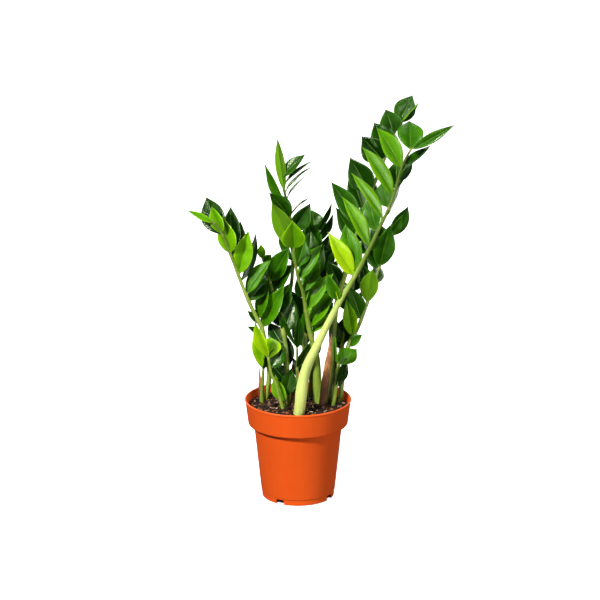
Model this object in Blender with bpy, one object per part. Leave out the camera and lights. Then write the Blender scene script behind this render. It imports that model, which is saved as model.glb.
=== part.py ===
"""Potted ZZ plant (Zamioculcas zamiifolia) in a 12 cm plastic nursery pot, for Blender 4.5.

Each frond of a ZZ plant is one compound leaf: a fleshy stalk that carries its leaflets, grown in
one piece, so each frond is one object. The pot, the soil, the fronds and the dry sheaths at their
feet are the plant's separate pieces. The origin is the centre of the pot's underside, +Z is up and
the plant is seen from -Y. Sizes and tables are in millimetres and degrees; Blender gets metres.
"""

from dataclasses import dataclass
from math import cos, hypot, pi, radians, sin

import bmesh
import bpy
from mathutils import Vector

MM = 0.001

# ---- Driving dimensions: pot -------------------------------------------------------------
POT_HEIGHT = 114.0
RIM_DIAMETER = 120.0
WALL = 1.3
FLOOR = 1.5
BAND_HEIGHT = 28.5          # the wide collar under the rim
BAND_TAPER = 3.2            # how much narrower the collar's foot is than its lip, on the radius
BAND_STEP = 6.2             # the ledge under the collar, on the radius
BODY_TAPER = 8.2            # how much narrower the body's foot is than its top, on the radius
LIP_HEIGHT = 2.4
LIP_OVERHANG = 0.6
FOOT_RING_HEIGHT = 6.5
FOOT_RING_STEP = 0.9

# ---- Driving dimensions: drainage tunnels under the floor --------------------------------
TUNNEL_WIDTH = 10.0
TUNNEL_HEIGHT = 5.5
TUNNEL_LENGTH = 13.0
TUNNEL_ANGLES = (-30.0, 60.0, 150.0, 240.0)    # from straight ahead (-Y), towards +X
DRAIN_HOLE_DIAMETER = 6.0

# ---- Driving dimensions: soil ------------------------------------------------------------
SOIL_BELOW_RIM = 9.0
SOIL_UNEVENNESS = 1.0
FOOT_ABOVE_LEDGE = 3.2      # a frond's foot ends in the soil this much above the collar's ledge
CLEARANCE = 0.3             # air between pieces that touch

# ---- Driving dimensions: plant -----------------------------------------------------------
PLANT_HEIGHT = 345.5        # highest leaf tip above the soil
BLADE_THICKNESS = 0.9
BLADE_FOLD = 20.0           # each half of a leaflet rises this much from its midrib
BLADE_CURL = 0.06           # how far the tip bends back, as a share of the leaflet's length
PETIOLE_WIDTH = 1.8

# The tables below are drawn for a plant of this height, rooted in soil of this radius in a pot
# of this rim.
DRAWN_PLANT_HEIGHT = 345.5
DRAWN_SOIL_RADIUS = 56.6
DRAWN_RIM_DIAMETER = 120.0
DRAWN_SOIL_TOP = 105.0
ROOTING_ZONE = 60.0         # above this height over the soil a frond ignores the pot's size

# ---- Level of detail ---------------------------------------------------------------------
POT_SEGMENTS = 40
STEM_SIDES = 8
STEM_STEPS = 2              # stalk sections between two points of its route
BLADE_STATIONS = (0.0, 0.22, 0.5, 0.8)

# ---- Worked-out sizes --------------------------------------------------------------------
RIM_RADIUS = RIM_DIAMETER / 2
BAND_TOP_RADIUS = RIM_RADIUS - LIP_OVERHANG
BAND_FOOT_RADIUS = BAND_TOP_RADIUS - BAND_TAPER
BAND_FOOT_Z = POT_HEIGHT - BAND_HEIGHT
BODY_TOP_RADIUS = BAND_FOOT_RADIUS - BAND_STEP
BODY_FOOT_RADIUS = BODY_TOP_RADIUS - BODY_TAPER
RING_RADIUS = BODY_FOOT_RADIUS - FOOT_RING_STEP
SOIL_TOP = POT_HEIGHT - SOIL_BELOW_RIM
STEM_FOOT_Z = BAND_FOOT_Z + WALL + FOOT_ABOVE_LEDGE

GREEN = (0.045, 0.19, 0.012, 1.0)
LEAF_ROUGHNESS = 0.3
TERRACOTTA = (0.76, 0.09, 0.012, 1.0)
POT_ROUGHNESS = 0.45
PEAT = (0.035, 0.016, 0.008, 1.0)
PEAT_ROUGHNESS = 0.95
DRY_SHEATH = (0.26, 0.12, 0.06, 1.0)
SHEATH_ROUGHNESS = 0.8


@dataclass
class Frond:
    """A stalk's route and thickness, and what grows on it.

    route: points (x, y, z) from the soil to the tip. radii: (z, radius) pairs.
    leaflets: (z on the stalk, lean from upright towards +X, lean towards the viewer, length,
    width, turn of the upper face from the viewer towards +X, and how far the tip bends back as a
    share of the length where that isn't BLADE_CURL).
    """
    route: list
    radii: list
    leaflets: list


FRONDS = {
    "frond_front_right": Frond(
        route=[(1, -27, 106), (8, -33, 156), (22, -40, 191), (43, -50, 238), (64, -58, 278),
               (84, -66, 322), (101, -74, 364), (110, -80, 400), (119, -85, 420)],
        radii=[(106, 6.2), (130, 6.6), (152, 5.8), (200, 4.2), (238, 3.4), (275, 2.6), (350, 1.7),
               (420, 1.2)],
        leaflets=[
            (240, -17, 5, 28, 9, -50), (242, -23, 14, 38, 15, -20), (272, -27, 10, 60, 22, 35),
            (306, -25, 5, 65, 21, 48), (339, -31, 5, 62, 18, 52), (366, -29, 10, 66, 21, 45),
            (398, -28, 10, 52, 23, 28, 0.12), (418, 1, -45, 43, 29, 0, 0.2),
            (419, 56, 15, 55, 12, -20), (394, 50, -20, 45, 15, -60), (383, 38, -10, 27, 15, 50),
            (339, 27, -15, 50, 20, 80), (324, -16, -40, 45, 25, -10),
            (352, -14, -45, 36, 25, -10), (373, 2, -40, 36, 22, -10), (276, -13, -15, 55, 26, 5),
            (300, 20, -65, 48, 20, 0)]),
    "frond_tall_right": Frond(
        route=[(37, 12, 106), (38, 13, 165), (42, 14, 213), (52, 18, 253), (66, 24, 306),
               (84, 30, 353), (97, 34, 386), (107, 38, 412), (111, 39, 424)],
        radii=[(106, 5.4), (170, 4.2), (213, 3.2), (306, 2.4), (424, 1.4)],
        leaflets=[
            (292, -26, 10, 44, 20, 20), (308, -29, 5, 59, 25, 30), (344, -30, 5, 46, 30, 0, 0.16),
            (380, -42, 5, 36, 31, 0, 0.16), (394, -29, 0, 32, 29, 10, 0.16),
            (409, -17, 5, 29, 28, 10, 0.16), (421, 28, -10, 35, 25, -10, 0.12),
            (419, 44, 10, 37, 14, 70), (325, 36, -40, 38, 20, 20), (287, 30, -40, 41, 20, 20),
            (251, 17, -40, 42, 20, 30), (325, -21, -20, 46, 22, 0), (238, -26, -12, 34, 20, 0),
            (360, 30, -65, 40, 20, 20), (395, 30, -65, 36, 20, 20)]),
    "frond_right": Frond(
        route=[(48.5, 15, 106), (49, 17, 122), (52, 23, 145), (58, 30, 170), (65, 33, 181),
               (72, 36, 197), (81, 42, 221), (90, 48, 248), (98, 54, 274), (106, 60, 296)],
        radii=[(106, 3.2), (145, 2.5), (296, 1.2)],
        leaflets=[
            (287, 33, 0, 41, 26, 35), (285, 30, 15, 33, 14, 30), (253, 13, 10, 53, 25, 5),
            (251, -22, 0, 34, 22, 20), (213, 7, 10, 45, 22, 180), (176, -9, 5, 45, 17, 0),
            (195, -18, -5, 40, 21, 20), (166, 45, 10, 22, 14, -40), (225, -18, 0, 36, 20, 0),
            (274, -16, 0, 31, 20, 0), (235, 20, -65, 45, 20, 30), (262, 20, -65, 42, 20, 20)]),
    "frond_centre": Frond(
        route=[(22, 11, 106), (21, 8, 155), (17, 4, 174), (11, -4, 204), (6, -16, 241),
               (0, -24, 262), (-4, -34, 288), (-5, -38, 299)],
        radii=[(106, 5.2), (140, 4.6), (175, 3.0), (241, 2.0), (299, 1.2)],
        leaflets=[
            (298, -2, 30, 41, 27, 0), (274, 18, -30, 35, 22, 0), (259, 30, 0, 48, 24, -56),
            (243, 28, -15, 41, 20, -30), (220, 32, 5, 53, 24, -54), (198, 32, 0, 52, 26, -48),
            (190, 46, 0, 36, 14, -50), (186, -15, 0, 32, 16, -30)]),
    "frond_left": Frond(
        route=[(-36, 25, 106), (-33, 24, 137), (-39, 14, 186), (-45, 10, 203), (-52, 4, 220),
               (-59, -2, 239), (-65, -8, 258), (-73, -16, 283), (-82, -24, 309), (-93, -30, 328)],
        radii=[(106, 3.2), (150, 2.6), (220, 2.2), (328, 1.1)],
        leaflets=[
            (325, -60, 10, 33, 8, 30), (310, -27, -25, 48, 28, -5, 0.12),
            (311, -19, 10, 35, 17, -20), (286, -11, 10, 46, 22, -10), (282, -2, -30, 60, 23, 0),
            (265, 4, -30, 59, 21, 0), (260, 13, 5, 53, 22, 10), (252, 20, -15, 57, 20, 50),
            (236, 32, 5, 49, 24, -54), (227, 41, -20, 36, 22, -30), (202, 12, 5, 54, 19, -45),
            (192, 24, 12, 60, 22, -25), (197, -41, 0, 22, 9, 30), (184, -60, 0, 21, 8, 30)]),
    "frond_tall_left": Frond(
        route=[(-9, 15, 106), (-14, 17, 146), (-14, 20, 199), (-7, 26, 245), (-6, 30, 279),
               (-9, 36, 317), (-17, 42, 351), (-21, 46, 378)],
        radii=[(106, 3.2), (199, 2.4), (378, 1.1)],
        leaflets=[
            (342, -8, 0, 64, 12, 195), (358, 40, 0, 37, 17, -45, 0.12),
            (349, 36, 0, 44, 7, -60, 0.3), (342, 33, 0, 41, 6, -60, 0.3),
            (335, 26, 0, 33, 4.5, -60, 0.3), (317, 35, 0, 32, 4, -60, 0.3),
            (321, -29, 0, 62, 18, -50), (313, -35, 15, 41, 23, 30), (279, -23, 8, 63, 22, 195),
            (265, -24, 0, 40, 14, -40), (292, -33, -35, 38, 20, 0), (298, 33, 0, 39, 24, 15),
            (275, 22, 32, 40, 18, 10)]),
    "frond_middle_left": Frond(
        route=[(-12, 5, 106), (-13, 3, 165), (-19, 12, 201), (-26, 18, 224), (-33, 22, 251),
               (-40, 24, 271)],
        radii=[(106, 3.2), (165, 2.8), (204, 2.2), (271, 1.1)],
        leaflets=[
            (270, -6, 0, 17, 10, 0), (266, 42, 10, 13, 11, 0), (244, 25, 12, 48, 24, -30),
            (235, 35, 5, 38, 24, -40), (224, -26, -20, 41, 20, 20), (214, 24, 8, 34, 20, 0),
            (208, -29, -28, 34, 20, 0), (193, -22, -28, 46, 24, 0), (187, 16, -15, 40, 22, 0),
            (168, -36, -32, 42, 20, 10), (148, -3, -12, 40, 18, 0), (130, -42, -18, 31, 20, 10)]),
    "frond_back": Frond(
        route=[(15, 34, 106), (16, 38, 171), (18, 43, 228), (20, 48, 271), (20, 50, 293)],
        radii=[(106, 3.0), (293, 1.2)],
        leaflets=[
            (268, -14, 5, 44, 24, 10), (262, 31, -5, 34, 20, 30), (292, 29, 0, 41, 12, 50),
            (282, 33, 0, 39, 16, 40), (291, -10, -30, 30, 24, 0), (246, 35, 0, 40, 24, 30),
            (251, -25, 5, 28, 16, 0), (228, -27, -5, 26, 18, 0), (224, 36, 0, 48, 24, 20),
            (204, 38, -5, 38, 24, 10), (184, 40, -5, 38, 20, 10)]),
    "frond_back_middle": Frond(
        route=[(8, 24, 106), (8, 25, 175), (9, 26, 221), (11, 28, 265)],
        radii=[(106, 4.0), (175, 3.2), (265, 1.2)],
        leaflets=[
            (264, 5, -18, 38, 22, 10), (250, -18, 25, 24, 14, 0), (246, 27, 0, 43, 22, 20),
            (224, -22, 22, 30, 18, 0), (214, 23, 0, 43, 22, 20), (193, -26, -10, 44, 24, 0),
            (182, 21, 0, 43, 22, 10), (165, -14, -5, 40, 22, 0), (150, 35, 0, 34, 16, 0),
            (125, -26, 0, 32, 13, 0)]),
    "frond_back_right": Frond(
        route=[(38, 33, 106), (43, 34, 130), (49, 37, 159), (59, 43, 216), (67, 49, 259),
               (73, 54, 291)],
        radii=[(106, 2.8), (216, 2.0), (291, 1.1)],
        leaflets=[
            (165, 4, 0, 33, 22, 0), (130, -10, 0, 30, 14, 0), (159, -16, -10, 38, 24, 20),
            (188, 27, -10, 42, 22, 20), (202, -17, -15, 45, 22, 0), (225, 29, -35, 48, 20, 20),
            (244, -15, -15, 45, 22, 0), (267, 36, -35, 42, 20, 20), (289, 5, -10, 40, 20, 10)]),
    "frond_low_centre": Frond(
        route=[(-1, -2, 106), (-1, -3, 140), (-1, -4, 175)],
        radii=[(106, 2.2), (175, 1.2)],
        leaflets=[
            (174, -25, 5, 46, 10, -50), (173, 3, 10, 40, 13, 20), (150, 25, 12, 36, 16, 20)]),
    "frond_low_left": Frond(
        route=[(-17, -11, 106), (-24, -14, 133), (-30, -17, 149), (-33, -21, 169)],
        radii=[(106, 2.2), (169, 1.2)],
        leaflets=[
            (168, -20, 10, 47, 18, -35), (167, 8, -55, 32, 27, 0), (155, 31, -20, 30, 20, 0)]),
    "frond_low_right": Frond(
        route=[(40, 0, 106), (43, 0, 130), (45, 2, 154)],
        radii=[(106, 2.4), (154, 1.3)],
        leaflets=[
            (153, 56, -30, 30, 24, -35), (153, -8, 0, 33, 12, -70), (126, 20, -5, 37, 16, 30)]),
    "sprout_left": Frond(
        route=[(-41, 12, 106), (-40, 9, 132), (-39, 7, 147)],
        radii=[(106, 2.6), (147, 1.4)],
        leaflets=[
            (146, -15, 5, 45, 14, -20), (144, 8, 0, 28, 16, 60)]),
    "sprout_front": Frond(
        route=[(-14, -3, 106), (-14, -3, 112), (-14, -3, 118)],
        radii=[(106, 1.8), (118, 1.3)],
        leaflets=[
            (110, -22, 0, 34, 22, -40), (117, 12, 0, 34, 19, 5)]),
}

SHEATHS = {
    "sheath_right": Frond(
        route=[(26, -4, 106), (27, -4, 112)],
        radii=[(106, 1.3), (112, 1.0)],
        leaflets=[(111, 8, 0, 79, 9, 10)]),
    "sheath_centre": Frond(
        route=[(4, -10, 106), (4, -10, 112)],
        radii=[(106, 1.3), (112, 1.0)],
        leaflets=[(111, -4, 0, 38, 7, 0)]),
    "sheath_middle_left": Frond(
        route=[(-6, 1, 106), (-6, 1, 112)],
        radii=[(106, 1.3), (112, 1.0)],
        leaflets=[(111, 0, 0, 42, 5, 20)]),
    "sheath_left": Frond(
        route=[(-42, 17, 106), (-42, 17, 112)],
        radii=[(106, 1.2), (112, 1.0)],
        leaflets=[(111, -3, 0, 34, 4, -20)]),
}


# ---- Meshes ------------------------------------------------------------------------------
def new_object(name, verts, faces, material=None, helper=False):
    """A mesh object from points in millimetres, with its faces turned outwards."""
    mesh = bpy.data.meshes.new(name)
    mesh.from_pydata([[c * MM for c in v] for v in verts], [], faces)
    work = bmesh.new()
    work.from_mesh(mesh)
    bmesh.ops.recalc_face_normals(work, faces=work.faces)
    work.to_mesh(mesh)
    work.free()
    obj = bpy.data.objects.new(name, mesh)
    bpy.context.scene.collection.objects.link(obj)
    if material:
        mesh.materials.append(material)
        mesh.shade_smooth()
        mesh.set_sharp_from_angle(angle=radians(35))
    if helper:
        obj.hide_render = True
        obj.display_type = "WIRE"
    return obj


def principled(name, colour, roughness):
    material = bpy.data.materials.new(name)
    material.use_nodes = True
    shader = material.node_tree.nodes["Principled BSDF"]
    shader.inputs["Base Color"].default_value = colour
    shader.inputs["Roughness"].default_value = roughness
    return material


def boolean(obj, operation, operand):
    modifier = obj.modifiers.new(operation.lower(), "BOOLEAN")
    modifier.operation = operation
    modifier.solver = "EXACT"
    if isinstance(operand, bpy.types.Collection):
        modifier.operand_type = "COLLECTION"
        modifier.collection = operand
    else:
        modifier.object = operand


def turned(profile, segments):
    """Points and faces of a closed profile [(radius, z)] whose ends lie on the axis, turned round Z."""
    verts = []
    rings = []
    for radius, z in profile:
        if radius == 0:
            rings.append([len(verts)] * segments)
            verts.append((0, 0, z))
            continue
        rings.append(range(len(verts), len(verts) + segments))
        for i in range(segments):
            angle = 2 * pi * i / segments
            verts.append((radius * cos(angle), radius * sin(angle), z))
    faces = []
    for low, high in zip(rings, rings[1:]):
        for i in range(segments):
            j = (i + 1) % segments
            corners = dict.fromkeys((low[i], low[j], high[j], high[i]))
            faces.append(tuple(corners))
    return verts, faces


def block(angle, start, end, half_width, low, high):
    """Points and faces of a box that lies along a direction from straight ahead, towards +X."""
    along = Vector((sin(radians(angle)), -cos(radians(angle)), 0))
    across = Vector((-along.y, along.x, 0))
    verts = []
    for z in (low, high):
        for distance, side in ((start, -1), (end, -1), (end, 1), (start, 1)):
            verts.append(along * distance + across * half_width * side + Vector((0, 0, z)))
    faces = [(3, 2, 1, 0), (4, 5, 6, 7), (0, 1, 5, 4), (1, 2, 6, 5), (2, 3, 7, 6), (3, 0, 4, 7)]
    return verts, faces


# ---- Pot and soil ------------------------------------------------------------------------
def wall_profile(inset):
    """The pot's outer outline from the foot to the band's top, moved inwards."""
    return [
        (RING_RADIUS - inset, 0),
        (RING_RADIUS + 0.1 - inset, FOOT_RING_HEIGHT),
        (BODY_FOOT_RADIUS - inset, FOOT_RING_HEIGHT + 0.4),
        (BODY_TOP_RADIUS - inset, BAND_FOOT_Z),
        (BAND_FOOT_RADIUS - inset, BAND_FOOT_Z),
        (BAND_TOP_RADIUS - inset, POT_HEIGHT - LIP_HEIGHT),
    ]


def inner_wall(gap, top):
    """The outline of what fills the pot up to a height, a gap away from its wall and floor."""
    inset = WALL + gap
    foot, ring, body_foot, body_top, band_foot, band_top = wall_profile(inset)
    ledge = WALL + gap
    share = (top - band_foot[1] - ledge) / (band_top[1] - band_foot[1] - ledge)
    return [
        (foot[0], FLOOR + gap),
        ring,
        body_foot,
        (body_top[0], body_top[1] + ledge),
        (band_foot[0], band_foot[1] + ledge),
        (band_foot[0] + (band_top[0] - band_foot[0]) * share, top),
    ]


def build_pot():
    lip_foot = POT_HEIGHT - LIP_HEIGHT
    profile = [(0, 0)] + wall_profile(0)
    profile += [
        (RIM_RADIUS, lip_foot + 0.4),
        (RIM_RADIUS, POT_HEIGHT - 0.7),
        (RIM_RADIUS - 0.6, POT_HEIGHT),
        (RIM_RADIUS - WALL - 0.3, POT_HEIGHT),
    ]
    profile += reversed(inner_wall(0, POT_HEIGHT - 0.9))
    profile.append((0, FLOOR))
    verts, faces = turned(profile, POT_SEGMENTS)
    pot = new_object("pot", verts, faces, principled("terracotta plastic", TERRACOTTA, POT_ROUGHNESS))
    for angle in TUNNEL_ANGLES:
        boolean(pot, "UNION", tunnel_block("hood", angle, WALL, 0.2))
    for angle in TUNNEL_ANGLES:
        boolean(pot, "DIFFERENCE", tunnel_block("tunnel", angle, 0, -1))
        boolean(pot, "DIFFERENCE", drain_drill(angle))
    return pot


def tunnel_block(name, angle, skin, low):
    """A drainage tunnel's space (skin 0), its hood (skin WALL) or the soil's room round the hood."""
    inner_end = RING_RADIUS - WALL - TUNNEL_LENGTH - skin
    outer_end = RING_RADIUS - WALL / 2 if skin else RING_RADIUS + WALL * 3
    half_width = TUNNEL_WIDTH / 2 + skin
    verts, faces = block(angle, inner_end, outer_end, half_width, low, TUNNEL_HEIGHT + skin)
    return new_object(f"{name}_cutter", verts, faces, helper=True)


def drain_drill(angle):
    distance = RING_RADIUS - WALL - TUNNEL_LENGTH / 2
    centre = Vector((sin(radians(angle)), -cos(radians(angle)), 0)) * distance
    radius = DRAIN_HOLE_DIAMETER / 2
    route = [centre + Vector((0, 0, TUNNEL_HEIGHT - 1)), centre + Vector((0, 0, TUNNEL_HEIGHT + WALL + 1))]
    verts, faces = tube(route, [radius, radius], 12)
    return new_object("drain_drill", verts, faces, helper=True)


def soil_height(x, y):
    """The uneven surface of the soil, as a smooth sum of waves that is flat at the pot's wall."""
    bumps = sin(x / 9 + 1) * cos(y / 11) + 0.6 * sin(y / 6 + x / 17)
    calm = 1 - (hypot(x, y) / RIM_RADIUS) ** 4
    return SOIL_TOP + SOIL_UNEVENNESS * bumps * calm


def build_soil(stems):
    outline = inner_wall(CLEARANCE, SOIL_TOP)
    edge = outline[-1][0]
    profile = [(0, FLOOR + CLEARANCE)] + outline
    profile += [(edge * share, SOIL_TOP) for share in (0.75, 0.5, 0.25)] + [(0, SOIL_TOP)]
    verts, faces = turned(profile, POT_SEGMENTS)
    surface = [i for i, v in enumerate(verts) if v[2] == SOIL_TOP and hypot(v[0], v[1]) < edge * 0.99]
    for i in surface:
        x, y, _ = verts[i]
        verts[i] = (x, y, soil_height(x, y))
    soil = new_object("soil", verts, faces, principled("peat", PEAT, PEAT_ROUGHNESS))
    for angle in TUNNEL_ANGLES:
        boolean(soil, "DIFFERENCE", tunnel_block("hood_room", angle, WALL + CLEARANCE, -1))
    sockets = bpy.data.collections.new("stem_sockets")
    for centres, radii in stems:
        top = next(i for i, c in enumerate(centres) if c.z > SOIL_TOP + SOIL_UNEVENNESS * 2)
        wide = [radius + CLEARANCE * 1.3 for radius in radii[:top + 1]]
        route = [centres[0] - Vector((0, 0, CLEARANCE))] + centres[1:top + 1]
        verts, faces = tube(route, wide, STEM_SIDES)
        put_in(sockets, new_object("socket_cutter", verts, faces, helper=True))
    boolean(soil, "DIFFERENCE", sockets)
    return soil


def put_in(collection, obj):
    collection.objects.link(obj)
    bpy.context.scene.collection.objects.unlink(obj)


# ---- Fronds ------------------------------------------------------------------------------
def read_table(pairs, z):
    """Linear reading of (z, value) pairs."""
    for (low_z, low), (high_z, high) in zip(pairs, pairs[1:]):
        if z <= high_z:
            share = max(0.0, (z - low_z) / (high_z - low_z))
            return low + (high - low) * share
    return pairs[-1][1]


def smooth_route(points, steps):
    """Points of a Catmull-Rom curve through a route, with steps sections between two points."""
    points = [Vector(p) for p in points]
    ends = [points[0] * 2 - points[1]] + points + [points[-1] * 2 - points[-2]]
    curve = []
    for a, b, c, d in zip(ends, ends[1:], ends[2:], ends[3:]):
        for i in range(steps):
            t = i / steps
            curve.append(0.5 * (2 * b + (c - a) * t + (2 * a - 5 * b + 4 * c - d) * t ** 2
                                + (3 * b - a - 3 * c + d) * t ** 3))
    return curve + [points[-1]]


def tube(centres, radii, sides):
    """Points and faces of a closed tube along a route, with its ends capped."""
    verts = []
    across = Vector((1, 0, 0))
    for i, (centre, radius) in enumerate(zip(centres, radii)):
        ahead = (centres[min(i + 1, len(centres) - 1)] - centres[max(i - 1, 0)]).normalized()
        across = (across - ahead * across.dot(ahead)).normalized()
        up = ahead.cross(across)
        for k in range(sides):
            angle = 2 * pi * k / sides
            verts.append(centre + (across * cos(angle) + up * sin(angle)) * radius)
    faces = [tuple(reversed(range(sides))), tuple(range(len(verts) - sides, len(verts)))]
    for ring in range(len(centres) - 1):
        for k in range(sides):
            a = ring * sides + k
            b = ring * sides + (k + 1) % sides
            faces.append((a, b, b + sides, a + sides))
    return verts, faces


def rooted_share(z):
    """How far a drawn height of the plant follows the pot: 1 at the soil, 0 above its zone."""
    return min(1.0, max(0.0, 1 - (z - DRAWN_SOIL_TOP) / ROOTING_ZONE))


def place(point, foot):
    """A drawn point of a frond at the pot's and the plant's real size.

    The foot follows the soil's radius. Above the rooting zone the whole plant grows with its
    height, from the middle of the soil.
    """
    growth = PLANT_HEIGHT / DRAWN_PLANT_HEIGHT
    pot_ratio = inner_wall(CLEARANCE, SOIL_TOP)[-1][0] / DRAWN_SOIL_RADIUS
    shift = foot * (pot_ratio - growth) * rooted_share(point.z)
    rise = (point.z - DRAWN_SOIL_TOP) * growth
    return Vector((point.x * growth + shift.x, point.y * growth + shift.y, SOIL_TOP + rise))


def growth_at(z):
    """How much bigger than drawn a leaflet or stalk is: low ones follow the pot, not the plant."""
    growth = PLANT_HEIGHT / DRAWN_PLANT_HEIGHT
    return growth + (RIM_DIAMETER / DRAWN_RIM_DIAMETER - growth) * min(1.0, 2 * rooted_share(z))


def half_width_share(t):
    """A leaflet's half width along its length, 1 at its widest."""
    return sin(pi * t ** 0.85) ** 0.8


def blade(base, lean, toward, length, width, turn, curl=BLADE_CURL):
    """Points and faces of one leaflet: a thin folded blade with a pointed tip."""
    lean, toward, turn, fold = (radians(a) for a in (lean, toward, turn, BLADE_FOLD))
    ahead = Vector((sin(lean) * cos(toward), -sin(toward), cos(lean) * cos(toward)))
    viewer = Vector((0, -1, 0))
    facing = (viewer - ahead * viewer.dot(ahead)).normalized()
    upper = facing * cos(turn) + ahead.cross(facing) * sin(turn)
    side = ahead.cross(upper)
    verts = []
    for t in BLADE_STATIONS:
        half = max(PETIOLE_WIDTH, width * half_width_share(t)) / 2
        middle = base + ahead * length * t - upper * curl * length * t ** 2
        spread = side * half * cos(fold)
        raised = upper * half * sin(fold)
        thick = upper * BLADE_THICKNESS / 2
        verts += [middle + spread + raised, middle + thick, middle - spread + raised, middle - thick]
    tip = len(verts)
    verts.append(base + ahead * length - upper * curl * length)
    faces = [(0, 1, 2, 3)]
    for station in range(0, tip - 4, 4):
        for k in range(4):
            a = station + k
            b = station + (k + 1) % 4
            faces.append((a, b, b + 4, a + 4))
    for k in range(4):
        faces.append((tip - 4 + k, tip - 4 + (k + 1) % 4, tip))
    return verts, faces


def point_on(curve, z):
    for low, high in zip(curve, curve[1:]):
        if z <= high.z:
            return low.lerp(high, max(0.0, (z - low.z) / (high.z - low.z)))
    return curve[-1]


def build_frond(name, frond, material):
    """The stalk with its leaflets united to it. Returns the stalk's centres and radii."""
    drawn = smooth_route(frond.route, STEM_STEPS)
    foot = Vector((frond.route[0][0], frond.route[0][1], DRAWN_SOIL_TOP))
    centres = [place(p, foot) for p in drawn]
    radii = [read_table(frond.radii, p.z) * growth_at(p.z) for p in drawn]
    centres.insert(0, Vector((centres[0].x, centres[0].y, STEM_FOOT_Z)))
    radii.insert(0, radii[0])
    verts, faces = tube(centres, radii, STEM_SIDES)
    stalk = new_object(name, verts, faces, material)
    leaflets = bpy.data.collections.new(f"{name}_leaflets")
    for z, lean, toward, length, width, *bends in frond.leaflets:
        base = place(point_on(drawn, z), foot)
        growth = growth_at(z)
        verts, faces = blade(base, lean, toward, length * growth, width * growth, *bends)
        put_in(leaflets, new_object(f"{name}_leaflet", verts, faces, helper=True))
    boolean(stalk, "UNION", leaflets)
    return centres, radii


def build():
    for obj in list(bpy.data.objects):
        bpy.data.objects.remove(obj)
    build_pot()
    leaf = principled("leaf", GREEN, LEAF_ROUGHNESS)
    dry = principled("dry sheath", DRY_SHEATH, SHEATH_ROUGHNESS)
    stems = [build_frond(name, frond, leaf) for name, frond in FRONDS.items()]
    stems += [build_frond(name, frond, dry) for name, frond in SHEATHS.items()]
    build_soil(stems)


build()
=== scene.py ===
"""Looks of the potted ZZ plant, on the frame of its CAD model. For Blender 4.5.

Every frond is drawn from the same kind of table as the CAD model: a stalk's route, and the place,
direction and size of each leaflet. Here each leaflet is a fine mesh with a groove along its
midrib, a waved margin and a tone of green that is partly its own and partly painted light and
shade. Sizes and tables are in millimetres and degrees.
"""

import random
from dataclasses import dataclass
from math import cos, exp, hypot, pi, radians, sin

import bpy
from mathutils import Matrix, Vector, noise


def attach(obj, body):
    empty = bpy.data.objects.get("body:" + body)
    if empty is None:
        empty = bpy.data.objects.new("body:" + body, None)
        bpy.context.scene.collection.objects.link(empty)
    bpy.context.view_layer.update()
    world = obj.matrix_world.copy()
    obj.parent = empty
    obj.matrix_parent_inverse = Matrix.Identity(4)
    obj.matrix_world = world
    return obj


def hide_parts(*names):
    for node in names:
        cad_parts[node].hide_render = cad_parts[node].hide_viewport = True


MM = 0.001
SEED = 41

# ---- Pot and soil ------------------------------------------------------------------------
POT_HEIGHT = 114.0
RIM_RADIUS = 60.0
WALL = 1.3
FLOOR = 1.5
BAND_TOP_RADIUS = 59.4
BAND_FOOT_RADIUS = 56.2
BAND_FOOT_Z = 85.5
BODY_TOP_RADIUS = 50.0
BODY_FOOT_RADIUS = 41.8
RING_RADIUS = 40.9
RING_HEIGHT = 6.5
LIP_HEIGHT = 2.4
TUNNEL_WIDTH = 10.0
TUNNEL_HEIGHT = 5.5
TUNNEL_LENGTH = 13.0
TUNNEL_ANGLES = (-30.0, 60.0, 150.0, 240.0)     # from straight ahead (-Y), towards +X
DRAIN_HOLE_RADIUS = 3.0
DRILL_SEGMENTS = 32
RIM_CHAMFER = 0.9           # height of the slope inside the rim
POT_SEGMENTS = 180

SOIL_TOP = 105.0
SOIL_RADIUS = 56.6
SOIL_SEGMENTS = 150
SOIL_RINGS = 52
SOIL_CLEARANCE = 0.3        # between the soil and the pot
CRUMB_SIZES = (0.8, 1.0, 1.3, 1.7, 2.2)
CRUMBS = 1100
CHIPS = 46
STRAWS = 30

# ---- Leaflets and stalks -----------------------------------------------------------------
BLADE_THICKNESS = 0.7
BLADE_FOLD = 20.0
BLADE_CURL = 0.06
# Leaflet tones run from 0 to this; they are partly the leaflet's own green and partly painted light
# and shade.
BRIGHTEST_TONE = 9
PETIOLE_WIDTH = 2.0
PETIOLE_SHARE = 0.05        # of the leaflet's length
ALONG = 26                  # sections along a leaflet
ACROSS = 9                  # sections across each half of a leaflet
GROOVE_DEPTH = 0.28         # of the midrib, above
RIB_DEPTH = 0.42            # of the midrib, below
MARGIN_WAVE = 0.45
STEM_SIDES = 20
STEM_STEPS = 7
STEM_FOOT_Z = 98.0
SCAR_REACH = 2.2            # along the stalk, each way

# ---- Light and camera --------------------------------------------------------------------
CAMERA_PITCH = 16.5
CAMERA_DISTANCE = 2.5
CAMERA_AIM = (0.0022, 0.0, 0.2292)
CAMERA_LENS = 135.0
FILL = 0.085                  # how brightly the white studio lights the plant
SHEEN = 0.05                # how brightly it shows in glossy leaves
FLOOR_WHITE = 0.85
FLOOR_GLOW = 0.92
FLOOR_SIZE = 40.0
FLOOR_DROP = 0.0005         # under the pot's foot
# name: (place, aim, diameter, watts, whether it shows in gloss only), in metres
LIGHTS = {
    "key": ((-1.25, -1.6, 1.7), (0, 0, 0.25), 0.35, 100, False),
    "right": ((1.7, -1.6, 0.5), (0, 0, 0.1), 0.8, 26, False),
    "top": ((-0.1, -0.7, 2.4), (0, 0, 0.3), 0.4, 22, False),
    "front_gloss": ((-1.6, -1.5, 0.7), (0, 0, 0.25), 0.3, 16, True),
    "back_left": ((-1.1, 1.7, 0.9), (0, 0, 0.2), 0.9, 26, False),
    "back_right": ((1.2, 1.6, 0.9), (0, 0, 0.2), 0.9, 16, False),
}


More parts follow.
